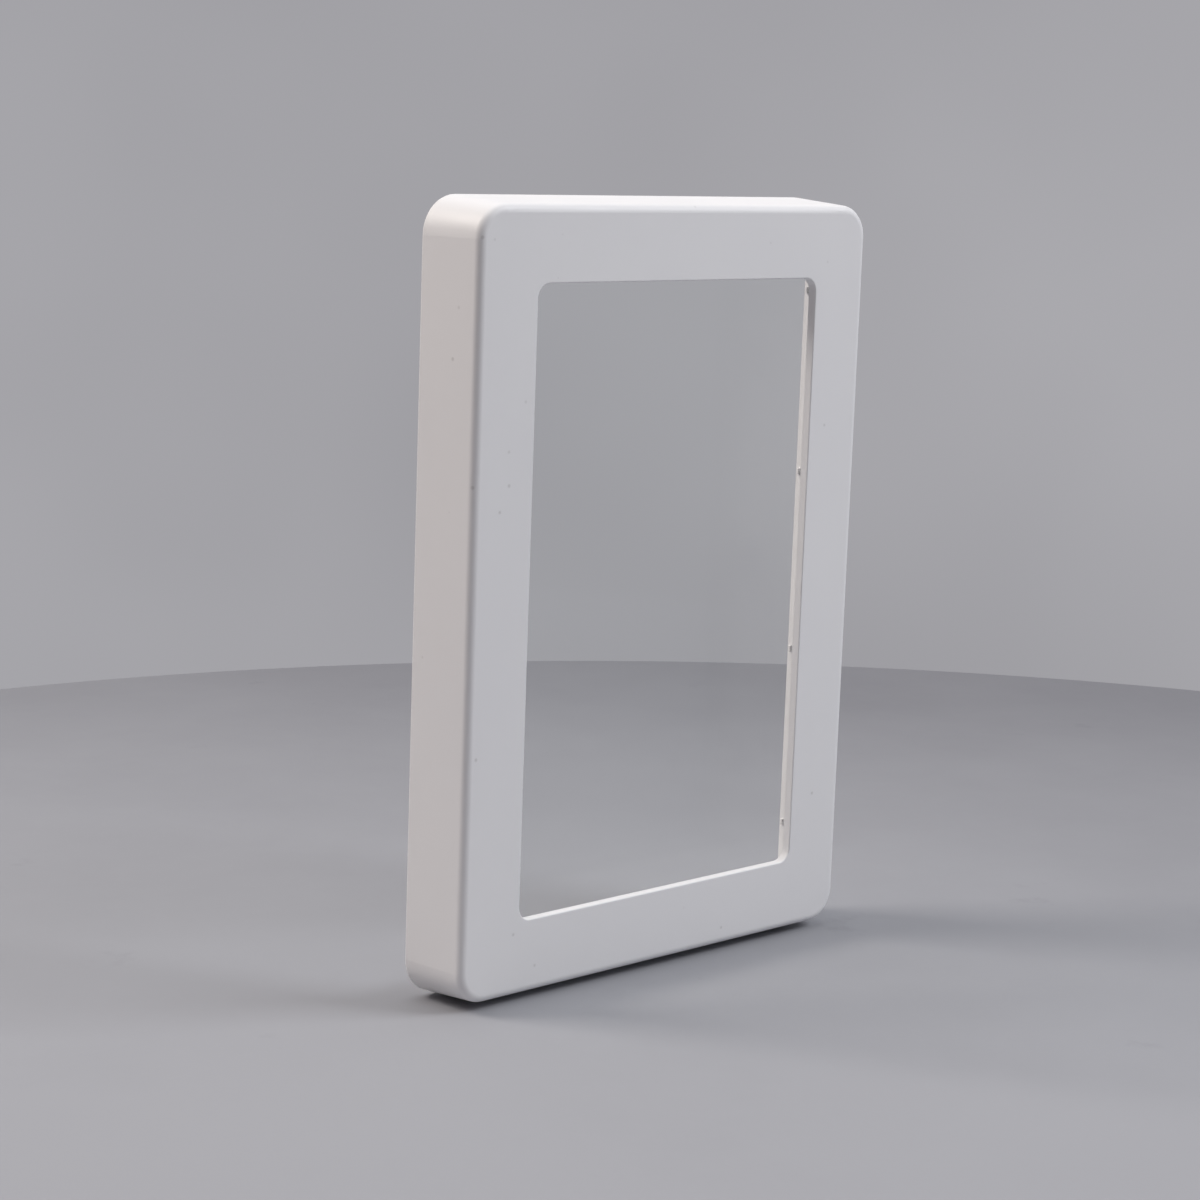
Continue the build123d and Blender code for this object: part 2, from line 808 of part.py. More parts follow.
def build():
    nodes = {
        "front_shell": front_shell(),
        "display_gasket": display_gasket(),
        "display_panel": display_panel(),
        "panel_clips": panel_clips(),
        "clip_screws": clip_screws(),
        "display_ribbon": display_ribbon(),
        "ribbon_connector": ribbon_connector(),
        "main_board": main_board(),
        "board_screws": board_screws(),
        "processor": processor(),
        "processor_shield": processor_shield(),
        "memory_chips": memory_chips(),
        "power_parts": power_parts(),
        "lead_connector": lead_connector(),
        "usb_c_socket": usb_c_socket(),
        "card_socket": card_socket(),
        "memory_card": memory_card(),
        "tact_switches": tact_switches(),
        "status_light": status_light(),
        "light_pipe": light_pipe(),
        "speaker_left": speaker(-1),
        "speaker_right": speaker(1),
        "bottom_cover": bottom_cover(),
        "top_cover": top_cover(),
        "cover_screws": cover_screws(),
        "keyhole_plates": keyhole_plates(),
        "back_panel": back_panel(),
        "battery_pack": battery_pack(),
        "battery_pads": battery_pads(),
        "wifi_antenna": wifi_antenna(),
        "rubber_feet": foot_pads(),
        "prop_foot": prop_foot(),
        "foot_pin": foot_pin(),
    }
    for name, x in zip(button_names, button_x):
        nodes[name] = button(x)
    for k, name in enumerate(lead_names):
        nodes[name] = lead(k)
    return nodes


def solids_of(shape):
    pieces = shape if isinstance(shape, list) else [shape]
    return [solid for piece in pieces for solid in piece.solids()]


os.makedirs("parts", exist_ok=True)
for name, shape in build().items():
    solids = solids_of(shape)
    export_step(Compound(solids) if len(solids) > 1 else solids[0], "parts/" + name + ".step")
    print(name, len(solids))
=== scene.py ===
# %% [markdown]
# # A see-through digital photo frame
# This lesson dresses a finished engineering model. The model arrives as a fixed set of parts, each already at
# its real size and place, so nothing here moves or resizes them. We give every part a believable finish, add
# the small pieces that a modeller would rather make in Blender, and set up a calm studio around it all.
#
# ## Loading the parts
# The first step brings the parts in, and notes how much room they take up. The same box is measured again at
# the very end, to show that none of the small pieces sticks out of it.

# %% Load the parts
import json
from math import pi, radians

import bmesh
import bpy
from mathutils import Matrix, Vector


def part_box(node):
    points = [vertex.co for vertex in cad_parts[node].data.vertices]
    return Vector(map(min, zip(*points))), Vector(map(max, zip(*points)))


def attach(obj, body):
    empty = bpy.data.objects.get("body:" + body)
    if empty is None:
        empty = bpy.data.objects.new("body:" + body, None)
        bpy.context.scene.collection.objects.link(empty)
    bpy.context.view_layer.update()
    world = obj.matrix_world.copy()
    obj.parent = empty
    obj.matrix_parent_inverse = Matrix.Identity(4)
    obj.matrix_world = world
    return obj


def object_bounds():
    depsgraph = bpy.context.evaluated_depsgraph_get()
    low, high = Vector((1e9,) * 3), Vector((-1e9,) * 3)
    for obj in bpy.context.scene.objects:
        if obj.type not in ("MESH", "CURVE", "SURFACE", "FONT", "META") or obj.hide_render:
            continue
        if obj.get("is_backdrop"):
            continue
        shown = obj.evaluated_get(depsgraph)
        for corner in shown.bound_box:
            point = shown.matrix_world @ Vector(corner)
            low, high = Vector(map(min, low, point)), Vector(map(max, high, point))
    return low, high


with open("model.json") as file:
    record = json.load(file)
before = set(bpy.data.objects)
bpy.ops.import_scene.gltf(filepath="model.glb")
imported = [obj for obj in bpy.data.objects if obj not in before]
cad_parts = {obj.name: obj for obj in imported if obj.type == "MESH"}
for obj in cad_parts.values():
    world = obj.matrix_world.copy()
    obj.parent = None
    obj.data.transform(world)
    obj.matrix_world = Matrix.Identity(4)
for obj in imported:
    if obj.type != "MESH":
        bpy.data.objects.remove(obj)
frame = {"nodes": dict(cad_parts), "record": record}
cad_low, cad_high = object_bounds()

parts = frame["nodes"]
print(f"{len(parts)} parts, {1000 * (cad_high.z - cad_low.z):.1f} mm tall")

# %% [markdown]
# ## Colour management
# Product shots of white plastic need white to stay white. The Standard view shows the light that reaches the
# camera as it is, while filmic views bend the bright end and would turn the top of the shell grey.

# %% Show light as it is
scene = bpy.context.scene
scene.view_settings.view_transform = "Standard"
scene.view_settings.look = "None"
print("view:", scene.view_settings.view_transform)

# %% [markdown]
# ## The camera
# A camera is placed by where it stands and by three turns: round the object, down towards it, and a slight
# roll. Building the rotation from those three numbers keeps it readable. A long lens from most of a metre
# away keeps the frame's upright edges nearly parallel.

# %% Place the camera
MM = 0.001
CAMERA_PLACE = (-543.9 * MM, -551.8 * MM, 237.4 * MM)
CAMERA_TURN = radians(43.66)
CAMERA_DROP = radians(9.74)
CAMERA_ROLL = radians(2.03)
FIELD_OF_VIEW = radians(24.25)

camera_data = bpy.data.cameras.new("camera")
camera_data.sensor_width = 36.0
camera_data.angle = FIELD_OF_VIEW
camera = bpy.data.objects.new("camera", camera_data)
scene.collection.objects.link(camera)
turn = Matrix.Rotation(-CAMERA_TURN, 4, "Z")
tilt = Matrix.Rotation(pi / 2 - CAMERA_DROP, 4, "X")
roll = Matrix.Rotation(CAMERA_ROLL, 4, "Z")
camera.matrix_world = Matrix.Translation(CAMERA_PLACE) @ turn @ tilt @ roll
scene.camera = camera
print(f"lens {camera_data.lens:.1f} mm")

# %% [markdown]
# ## Helpers for materials
# Every finish below is a small node network round one Principled shader. Three helpers keep the networks
# short: one starts a material, one adds a node and sets its plain values, and one joins two sockets. The
# others stand for groups of nodes that come back again and again. Noise from Blender rarely leaves the middle
# of its range, so most uses stretch that middle over the whole range.

# %% Material helpers
NOISE_MIDDLE = (0.3, 0.7)
finishes = {}


def start_material(name):
    """A new material with only a Principled shader, and that shader. It is also filed under its name."""
    material = bpy.data.materials.new(name)
    material.use_nodes = True
    shader = material.node_tree.nodes["Principled BSDF"]
    finishes[name] = material
    return material, shader


def add(material, kind, **values):
    """A new node. Each value sets the input of that name, with spaces written as underscores."""
    made = material.node_tree.nodes.new("ShaderNode" + kind)
    for name, value in values.items():
        made.inputs[name.replace("_", " ")].default_value = value
    return made


def join(material, source, target):
    material.node_tree.links.new(source, target)


def combine(material, operation, first, second):
    """A Math node. The second value is a socket or a plain number."""
    node = add(material, "Math")
    node.operation = operation
    join(material, first, node.inputs[0])
    if isinstance(second, float):
        node.inputs[1].default_value = second
    else:
        join(material, second, node.inputs[1])
    return node.outputs["Value"]


def lean(material, place, way):
    """How far a place or direction lies along the given way."""
    node = add(material, "VectorMath")
    node.operation = "DOT_PRODUCT"
    node.inputs[1].default_value = way
    join(material, place, node.inputs[0])
    return node.outputs["Value"]


def object_place(material):
    """Where a point lies in the object's own space, in metres."""
    return add(material, "TexCoord").outputs["Object"]


def cloud(material, scale, detail=3.0, roughness=0.5):
    """Soft noise. The scale is how many lumps fit in a metre."""
    noise = add(material, "TexNoise", Scale=scale, Detail=detail, Roughness=roughness)
    join(material, object_place(material), noise.inputs["Vector"])
    return noise.outputs["Fac"]


def spread(material, source, low, high, start=0.0, end=1.0):
    """Takes a value that runs from start to end and makes it run from low to high."""
    span = add(material, "MapRange", From_Min=start, From_Max=end, To_Min=low, To_Max=high)
    join(material, source, span.inputs["Value"])
    return span.outputs["Result"]


def layer_over(material, factor, under, colour, blend_type="MIX"):
    """Lays a colour over a socket's colour, as strongly as the factor says."""
    blend = add(material, "Mix")
    blend.data_type = "RGBA"
    blend.blend_type = blend_type
    blend.inputs["B"].default_value = (*colour, 1.0)
    join(material, factor, blend.inputs["Factor"])
    join(material, under, blend.inputs["A"])
    return blend.outputs["Result"]


def two_tones(material, factor, first, second):
    """Blends two colours by a factor."""
    blend = add(material, "Mix")
    blend.data_type = "RGBA"
    blend.inputs["A"].default_value = (*first, 1.0)
    blend.inputs["B"].default_value = (*second, 1.0)
    join(material, factor, blend.inputs["Factor"])
    return blend.outputs["Result"]


def bumps(material, shader, height, depth, edge=0.0):
    """Raises the surface by a height map of the given depth. An edge above zero also softens sharp edges."""
    bump = add(material, "Bump", Strength=1.0, Distance=depth)
    join(material, height, bump.inputs["Height"])
    if edge:
        soft_edge = add(material, "Bevel", Radius=edge)
        join(material, soft_edge.outputs["Normal"], bump.inputs["Normal"])
    join(material, bump.outputs["Normal"], shader.inputs["Normal"])


print("material helpers ready, no finishes yet:", not finishes)

# %% [markdown]
# ## Moulded white plastic
# The shell is a satin white moulding. A real mould is spark-etched, which leaves a very fine grain that
# scatters the highlights, so the grain is a tiny bump and not a colour. The colour itself drifts by a percent
# or so, and roughness drifts with it. A few specks of dust finish it: each cell of a Voronoi texture has a
# centre and a random value, so a speck goes only on the centres of the few cells with a high value. A Bevel
# node bends the shading at sharp edges, because no moulding has a perfectly sharp one.

# %% Moulded plastic
SHADED_EDGE = 0.12 * MM
DRIFT_LUMPS = 14.0
SATIN_LUMPS = 60.0
SATIN_DRIFT = 0.04
SPECK_COLOUR = (0.40, 0.39, 0.38)
SPECK_CORE, SPECK_EDGE = 0.03, 0.075
SPECK_RARITY = (0.62, 0.66)
SPECK_STRENGTH = 0.35


def moulded_plastic(name, colour, shade, rough, grain, grain_depth, specks=0.0):
    """Satin plastic. The grain and the specks are given as how many fit in a metre."""
    material, shader = start_material(name)
    tone = spread(material, cloud(material, DRIFT_LUMPS), 0.0, 1.0, *NOISE_MIDDLE)
    colours = two_tones(material, tone, colour, shade)
    if specks:
        spots = add(material, "TexVoronoi", Scale=specks)
        join(material, object_place(material), spots.inputs["Vector"])
        close = spread(material, spots.outputs["Distance"], 1.0, 0.0, SPECK_CORE, SPECK_EDGE)
        rare = spread(material, spots.outputs["Color"], 0.0, SPECK_STRENGTH, *SPECK_RARITY)
        colours = layer_over(material, combine(material, "MULTIPLY", close, rare), colours, SPECK_COLOUR)
    join(material, colours, shader.inputs["Base Color"])
    satin = spread(material, cloud(material, SATIN_LUMPS), rough - SATIN_DRIFT, rough + SATIN_DRIFT,
                   *NOISE_MIDDLE)
    join(material, satin, shader.inputs["Roughness"])
    bumps(material, shader, cloud(material, grain, 2.0), grain_depth, SHADED_EDGE)


moulded_plastic("white_shell", (0.86, 0.86, 0.87), (0.84, 0.84, 0.855), 0.46, 2600.0, 6e-6, specks=110.0)
moulded_plastic("white_cover", (0.83, 0.83, 0.84), (0.80, 0.80, 0.815), 0.55, 1500.0, 16e-6)
moulded_plastic("button_grey", (0.42, 0.43, 0.45), (0.39, 0.40, 0.42), 0.42, 2200.0, 6e-6)
moulded_plastic("mark_white", (0.82, 0.82, 0.83), (0.78, 0.78, 0.79), 0.40, 2400.0, 4e-6)
moulded_plastic("chip_black", (0.020, 0.020, 0.022), (0.030, 0.030, 0.032), 0.50, 3200.0, 6e-6)
moulded_plastic("card_black", (0.016, 0.016, 0.018), (0.024, 0.024, 0.026), 0.38, 3000.0, 4e-6)
moulded_plastic("connector_ivory", (0.80, 0.74, 0.60), (0.75, 0.69, 0.55), 0.45, 1800.0, 5e-6)
moulded_plastic("speaker_black", (0.028, 0.028, 0.030), (0.018, 0.018, 0.020), 0.60, 1400.0, 12e-6)
print("plastics:", ", ".join(finishes))

# %% [markdown]
# ## Clear panels
# Glass in a window this thin hardly bends light, so a full refraction shader would cost time and bring noise.
# A Transparent shader lets the view and the shadows through untouched, and a Glossy one adds the reflection.
# Real glass reflects little face on and much more at a glancing angle. A Layer Weight node tells how glancing
# the view is, and its fifth power on top of a small constant is the classic approximation of that rise. It
# treats both sides of a sheet alike, which the Fresnel node does not.

# %% Clear panel
RISE_POWER = 5.0
SMEAR_LUMPS = 45.0
SMEAR_HAZE = 0.05


def clear_panel(name, tint, face_on, rough):
    """Clear sheet that reflects the given part of the light face on."""
    material, shader = start_material(name)
    tree = material.node_tree
    tree.nodes.remove(shader)
    through = add(material, "BsdfTransparent", Color=(*tint, 1.0))
    shine = add(material, "BsdfGlossy", Color=(1.0, 1.0, 1.0, 1.0), Roughness=rough)
    glance = add(material, "LayerWeight", Blend=0.5)
    rise = combine(material, "POWER", glance.outputs["Facing"], RISE_POWER)
    mix = add(material, "MixShader")
    join(material, spread(material, rise, face_on, 1.0), mix.inputs["Fac"])
    join(material, through.outputs["BSDF"], mix.inputs[1])
    join(material, shine.outputs["BSDF"], mix.inputs[2])
    join(material, mix.outputs["Shader"], tree.nodes["Material Output"].inputs["Surface"])
    smears = spread(material, cloud(material, SMEAR_LUMPS, 4.0), rough, rough + SMEAR_HAZE, 0.45, 0.75)
    join(material, smears, shine.inputs["Roughness"])


clear_panel("display_glass", (0.994, 0.997, 0.996), 0.010, 0.02)
clear_panel("clear_acrylic", (0.993, 0.996, 0.997), 0.008, 0.03)
clear_panel("light_clear", (0.80, 0.86, 0.82), 0.040, 0.10)
print("clear: a display, a back panel and a light pipe")

# %% [markdown]
# ## Metals
# Small pressed and turned parts are steel. Rolling and plating leave faint streaks, so the noise that drives
# the roughness is squeezed along one direction by a Mapping node.

# %% Streaked metal
ALONG_Z = (900.0, 900.0, 60.0)
ALONG_Y = (900.0, 60.0, 900.0)
NO_WAY = (400.0, 400.0, 400.0)


def streaked_metal(name, colour, shade, rough, streaks_run=ALONG_Z):
    material, shader = start_material(name)
    shader.inputs["Metallic"].default_value = 1.0
    squeeze = add(material, "Mapping", Scale=streaks_run)
    join(material, object_place(material), squeeze.inputs["Vector"])
    streaks = add(material, "TexNoise", Scale=1.0, Detail=4.0)
    join(material, squeeze.outputs["Vector"], streaks.inputs["Vector"])
    streak = streaks.outputs["Fac"]
    tone = spread(material, streak, 0.0, 1.0, *NOISE_MIDDLE)
    join(material, two_tones(material, tone, colour, shade), shader.inputs["Base Color"])
    join(material, spread(material, streak, rough - 0.07, rough + 0.10), shader.inputs["Roughness"])
    bumps(material, shader, streak, 3e-6)


streaked_metal("bright_steel", (0.66, 0.66, 0.68), (0.56, 0.56, 0.58), 0.30)
streaked_metal("screw_steel", (0.50, 0.50, 0.53), (0.40, 0.40, 0.43), 0.34, NO_WAY)
streaked_metal("inlet_steel", (0.70, 0.70, 0.71), (0.62, 0.62, 0.63), 0.24, ALONG_Y)
streaked_metal("contact_gold", (0.83, 0.60, 0.25), (0.74, 0.51, 0.19), 0.25)
print(f"{len(finishes)} finishes with the metals")

# %% [markdown]
# ## Rubber, foam and insulation
# Soft parts share one network: two tones of a base colour, a roughness that drifts, and a coarse bump for
# the skin. Foam and rubber are rough, while the skin of a lead and the wrap of a battery have more shine.

# %% Soft finishes
def soft_skin(name, colour, shade, rough, lumps, lump_depth):
    material, shader = start_material(name)
    tone = spread(material, cloud(material, lumps / 4), 0.0, 1.0, 0.35, 0.65)
    join(material, two_tones(material, tone, colour, shade), shader.inputs["Base Color"])
    gloss = spread(material, cloud(material, lumps), rough - 0.08, rough + 0.06)
    join(material, gloss, shader.inputs["Roughness"])
    bumps(material, shader, cloud(material, lumps, 4.0, 0.6), lump_depth)


soft_skin("gasket_foam", (0.78, 0.78, 0.79), (0.70, 0.70, 0.71), 0.90, 3500.0, 60e-6)
soft_skin("foot_rubber", (0.020, 0.020, 0.021), (0.030, 0.030, 0.031), 0.80, 1600.0, 25e-6)
soft_skin("cone_cloth", (0.030, 0.030, 0.032), (0.018, 0.018, 0.020), 0.75, 2600.0, 25e-6)
soft_skin("lead_red", (0.52, 0.020, 0.018), (0.44, 0.015, 0.014), 0.42, 900.0, 5e-6)
soft_skin("lead_black", (0.018, 0.018, 0.019), (0.026, 0.026, 0.027), 0.42, 900.0, 5e-6)
soft_skin("lead_grey", (0.22, 0.22, 0.23), (0.26, 0.26, 0.27), 0.42, 900.0, 5e-6)
soft_skin("battery_wrap", (0.09, 0.17, 0.36), (0.07, 0.14, 0.31), 0.34, 320.0, 30e-6)
print(f"{len(finishes)} finishes with the soft ones")

# %% [markdown]
# ## Printed circuits and amber film
# Circuit boards and flat cables show fine copper runs under a tinted skin. Stripes from a Wave texture give
# the parallel conductors, and a Brick texture turned into blocks suggests copper areas and gaps on the board.

# %% Printed finishes
def striped_film(name, film, copper, stripes):
    material, shader = start_material(name)
    wave = add(material, "TexWave", Scale=stripes, Distortion=0.0)
    wave.bands_direction = "X"
    join(material, object_place(material), wave.inputs["Vector"])
    runs = spread(material, wave.outputs["Fac"], 0.0, 1.0, 0.45, 0.55)
    join(material, two_tones(material, runs, film, copper), shader.inputs["Base Color"])
    join(material, spread(material, cloud(material, 300.0), 0.22, 0.34), shader.inputs["Roughness"])
    bumps(material, shader, runs, 12e-6)


def circuit_board(name, skin, copper):
    material, shader = start_material(name)
    blocks = add(material, "TexBrick", Scale=260.0, Mortar_Size=0.03, Brick_Width=0.9, Row_Height=0.35)
    blocks.inputs["Color1"].default_value = (0.1, 0.1, 0.1, 1.0)
    blocks.inputs["Color2"].default_value = (1.0, 1.0, 1.0, 1.0)
    blocks.inputs["Mortar"].default_value = (0.0, 0.0, 0.0, 1.0)
    join(material, object_place(material), blocks.inputs["Vector"])
    runs = spread(material, blocks.outputs["Color"], 0.0, 1.0, 0.2, 0.7)
    join(material, two_tones(material, runs, skin, copper), shader.inputs["Base Color"])
    join(material, spread(material, cloud(material, 500.0), 0.24, 0.36), shader.inputs["Roughness"])
    bumps(material, shader, runs, 20e-6)


striped_film("amber_film", (0.50, 0.20, 0.035), (0.72, 0.36, 0.10), 320.0)
circuit_board("board_green", (0.010, 0.085, 0.035), (0.020, 0.150, 0.060))
print(f"{len(finishes)} finishes in all")

# %% [markdown]
# ## Dressing the engineering parts
# Each part names a material slot in the record, so one loop can dress them all. Assigning to the object's
# slot leaves the mesh itself untouched.

# %% Dress every part
dressed = 0
for entry in frame["record"]["subparts"]:
    part = parts[entry["node"]]
    for place in part.material_slots:
        place.material = finishes[entry["material_slot"]]
        dressed += 1
print(f"dressed {dressed} material slots")

# %% [markdown]
# ## Small details
# The engineering parts carry every size that matters for fit. What is left are the things a hand or an eye
# would notice: marks on the buttons, contacts in the sockets, the speakers' cones. They are built straight on
# the faces they sit on, so each one starts from the box of its engineering part. Working in millimetres keeps
# the numbers easy to read, and the helpers turn them into metres.

# %% Helpers for small shapes
SHARP_FROM = radians(35)
SAME_POINT = 0.0005 * MM


def box_mm(node):
    """The low and high corners of a part, in millimetres."""
    part_low, part_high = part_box(node)
    return Vector(part_low) / MM, Vector(part_high) / MM


def mesh_object(name, shape):
    """Turns a finished bmesh into an object at the origin, with closed seams and outward faces."""
    bmesh.ops.remove_doubles(shape, verts=shape.verts, dist=SAME_POINT)
    bmesh.ops.recalc_face_normals(shape, faces=shape.faces)
    open_edges = sum(1 for edge in shape.edges if len(edge.link_faces) != 2)
    mesh = bpy.data.meshes.new(name)
    shape.to_mesh(mesh)
    shape.free()
    made = bpy.data.objects.new(name, mesh)
    scene.collection.objects.link(made)
    mesh.shade_smooth()
    mesh.set_sharp_from_angle(angle=SHARP_FROM)
    print(f"{name}: {len(mesh.polygons)} faces, {open_edges} open edges")
    return made


def finish(name, shape, finish_name, body):
    """Makes a piece of a shape, gives it its finish and lets it move with a body of the frame."""
    piece = mesh_object(name, shape)
    piece.data.materials.append(finishes[finish_name])
    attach(piece, body)


def middle_of(part_low, part_high):
    return (part_low + part_high) / 2


def bar(shape, middle, size, rounding, turn=0.0):
    """Adds a bar with rounded edges. It can be turned about the depth direction."""
    verts = bmesh.ops.create_cube(shape, size=1.0)["verts"]
    bmesh.ops.scale(shape, verts=verts, vec=Vector(size) * MM)
    bmesh.ops.rotate(shape, verts=verts, matrix=Matrix.Rotation(turn, 3, "Y"))
    bmesh.ops.translate(shape, verts=verts, vec=Vector(middle) * MM)
    edges = list({edge for vert in verts for edge in vert.link_edges})
    bmesh.ops.bevel(shape, geom=edges, offset=rounding * MM, segments=2, profile=0.5,
                    affect="EDGES", material=-1)


def arc(shape, middle, radius, width, height, start, sweep, steps=28):
    """Adds part of a flat ring, seen along the depth direction, by spinning its cross section."""
    verts = bmesh.ops.create_grid(shape, x_segments=1, y_segments=1, size=0.5)["verts"]
    bmesh.ops.scale(shape, verts=verts, vec=Vector((width, height, 1.0)) * MM)
    bmesh.ops.translate(shape, verts=verts, vec=(radius * MM, 0.0, 0.0))
    bmesh.ops.rotate(shape, verts=verts, matrix=Matrix.Rotation(start, 3, "Y"))
    bmesh.ops.translate(shape, verts=verts, vec=Vector(middle) * MM)
    faces = list({face for vert in verts for face in vert.link_faces})
    edges = list({edge for vert in verts for edge in vert.link_edges})
    bmesh.ops.spin(shape, geom=verts + edges + faces, cent=Vector(middle) * MM, axis=(0.0, 1.0, 0.0),
                   angle=sweep, steps=steps)


print("shape helpers ready")

# %% [markdown]
# ## Marks on the buttons
# Rear buttons are found by touch as much as by sight, so their marks stand a tenth of a millimetre proud, as
# they would from a second colour of plastic moulded into the cap. The four are the usual ones: power, menu,
# previous and next. Somebody in front of the frame reaches round and feels them, so the arrows point left and
# right as that person has them.

# %% Button marks
MARK_HEIGHT = 0.14
MARK_SUNK = 0.03
MARK_WIDTH = 0.26
MARK_ROUNDING = 0.04

RING_RADIUS = 1.0
RING_START, RING_SWEEP = radians(-60), radians(300)
STROKE_LENGTH, STROKE_UP = 1.1, 0.75
LINE_LENGTH, LINE_PITCH = 1.9, 0.62
ARROW_BAR, ARROW_AHEAD, ARROW_APART = 1.3, 0.05, 0.42


def cap_face(node):
    """The middle of a mark that sits on the outer face of a button's cap."""
    part_low, part_high = box_mm(node)
    centre = middle_of(part_low, part_high)
    return Vector((centre.x, part_high.y + MARK_HEIGHT / 2 - MARK_SUNK, centre.z))


def power_mark(shape, centre):
    arc(shape, centre, RING_RADIUS, MARK_WIDTH, MARK_HEIGHT, RING_START, RING_SWEEP)
    stroke = (MARK_WIDTH, MARK_HEIGHT, STROKE_LENGTH)
    bar(shape, centre + Vector((0.0, 0.0, STROKE_UP)), stroke, MARK_ROUNDING)


def menu_mark(shape, centre):
    for step in (-1, 0, 1):
        place = centre + Vector((0.0, 0.0, step * LINE_PITCH))
        bar(shape, place, (LINE_LENGTH, MARK_HEIGHT, MARK_WIDTH), MARK_ROUNDING)


def arrow_mark(shape, centre, way):
    """Two short bars that meet at a point. The way is +1 towards +X and -1 towards -X."""
    for half in (-1, 1):
        place = centre + Vector((way * ARROW_AHEAD, 0.0, half * ARROW_APART))
        turn = half * way * radians(45)
        bar(shape, place, (ARROW_BAR, MARK_HEIGHT, MARK_WIDTH), MARK_ROUNDING, turn)


marks = {
    "power": ("power_button", power_mark, ()),
    "menu": ("menu_button", menu_mark, ()),
    "previous": ("previous_button", arrow_mark, (-1,)),
    "next": ("next_button", arrow_mark, (1,)),
}
for body, (node, draw, extra) in marks.items():
    shape = bmesh.new()
    draw(shape, cap_face(node), *extra)
    finish(body + "_mark", shape, "mark_white", body)

# %% [markdown]
# ## Contacts in the power inlet
# The inlet's tongue carries twelve gold contacts on each side. They are stamped strips held in a moulded
# tongue, half a millimetre apart, and only their faces show.

# %% Inlet contacts
CONTACT_COUNT = 12
CONTACT_PITCH = 0.5
CONTACT_SIZE = (0.26, 3.4, 0.08)
CONTACT_ROUNDING = 0.02
CONTACT_BACK = 1.35
TONGUE_HALF = 0.35

inlet_low, inlet_high = box_mm("usb_c_socket")
inlet_middle = middle_of(inlet_low, inlet_high)
y = inlet_high.y - CONTACT_BACK - CONTACT_SIZE[1] / 2
shape = bmesh.new()
for side in (-1, 1):
    for k in range(CONTACT_COUNT):
        x = inlet_middle.x + (k - (CONTACT_COUNT - 1) / 2) * CONTACT_PITCH
        bar(shape, (x, y, inlet_middle.z + side * TONGUE_HALF), CONTACT_SIZE, CONTACT_ROUNDING)
finish("inlet_contacts", shape, "contact_gold", "frame")

# %% [markdown]
# ## The memory card
# A microSD card has eight gold pads under its front end, and a raised lip along its rear end for a
# fingernail. Both ride with the card, so they leave the frame when it is pulled out.

# %% Card pads and lip
PAD_COUNT = 8
PAD_PITCH = 1.1
PAD_SIZE = (0.8, 2.9, 0.06)
PAD_ROUNDING = 0.02
FIRST_PAD = (0.95, 2.3)
LIP_SIZE = (9.2, 0.5, 0.24)
LIP_ROUNDING = 0.08
LIP_FROM_END = 0.45
LIP_UP = 0.04

card_low, card_high = box_mm("memory_card")
shape = bmesh.new()
for k in range(PAD_COUNT):
    x = card_low.x + FIRST_PAD[0] + k * PAD_PITCH
    bar(shape, (x, card_low.y + FIRST_PAD[1], card_low.z), PAD_SIZE, PAD_ROUNDING)
finish("card_pads", shape, "contact_gold", "card")

lip_place = (middle_of(card_low, card_high).x, card_high.y - LIP_FROM_END, card_high.z + LIP_UP)
shape = bmesh.new()
bar(shape, lip_place, LIP_SIZE, LIP_ROUNDING)
finish("card_lip", shape, "card_black", "card")

# %% [markdown]
# ## Speaker cones
# Each speaker is a flat oblong driver. A soft half-round roll joins the cone to its frame and lets it move.
# The roll starts as a flat rounded plate: bevelling the corners of one face rounds them, and a few insets,
# each with its own rise, draw the roll's profile all the way round.

# %% Speaker rolls
CONE_RIM = (2.0, 1.2)
CONE_DEEP = 1.25
ROLL_GAP = 0.1
ROLL_CORNER = 2.3
PLATE_THICK = 0.15
ROLL_STEPS = ((0.16, 0.26), (0.14, 0.12), (0.14, 0.02), (0.14, -0.12), (0.16, -0.26))


def rounded_plate(width, height):
    """A flat plate with rounded corners that faces up, and the list with its upper face."""
    shape = bmesh.new()
    corners = bmesh.ops.create_grid(shape, x_segments=1, y_segments=1, size=0.5)["verts"]
    bmesh.ops.scale(shape, verts=corners, vec=Vector((width, height, 1.0)) * MM)
    bmesh.ops.bevel(shape, geom=list(shape.verts), offset=ROLL_CORNER * MM, segments=8, profile=0.5,
                    affect="VERTICES", material=-1)
    raised = bmesh.ops.extrude_face_region(shape, geom=list(shape.faces))["geom"]
    top_verts = [item for item in raised if isinstance(item, bmesh.types.BMVert)]
    bmesh.ops.translate(shape, verts=top_verts, vec=(0.0, 0.0, PLATE_THICK * MM))
    bmesh.ops.recalc_face_normals(shape, faces=shape.faces)
    return shape, [item for item in raised if isinstance(item, bmesh.types.BMFace)]


for node in ("speaker_left", "speaker_right"):
    part_low, part_high = box_mm(node)
    width = part_high.x - part_low.x - 2 * CONE_RIM[0] - ROLL_GAP
    height = part_high.z - part_low.z - 2 * CONE_RIM[1] - ROLL_GAP
    shape, top = rounded_plate(width, height)
    for thickness, rise in ROLL_STEPS:
        bmesh.ops.inset_region(shape, faces=top, thickness=thickness * MM, depth=rise * MM,
                               use_even_offset=True)
    bmesh.ops.rotate(shape, verts=shape.verts, matrix=Matrix.Rotation(-pi / 2, 3, "X"))
    centre = middle_of(part_low, part_high)
    centre.y = part_high.y - CONE_DEEP
    bmesh.ops.translate(shape, verts=shape.verts, vec=centre * MM)
    finish(node + "_roll", shape, "cone_cloth", "frame")

# %% [markdown]
# ## The prop foot's grip
# Four low ribs at the free end give a fingertip something to pull on.

# %% Prop foot ribs
RIB_COUNT = 4
RIB_PITCH = 1.3
RIB_SIZE = (0.55, 0.22, 2.6)
RIB_FROM_END = 2.6
RIB_ROUNDING = 0.09
RIB_OUT = 0.03

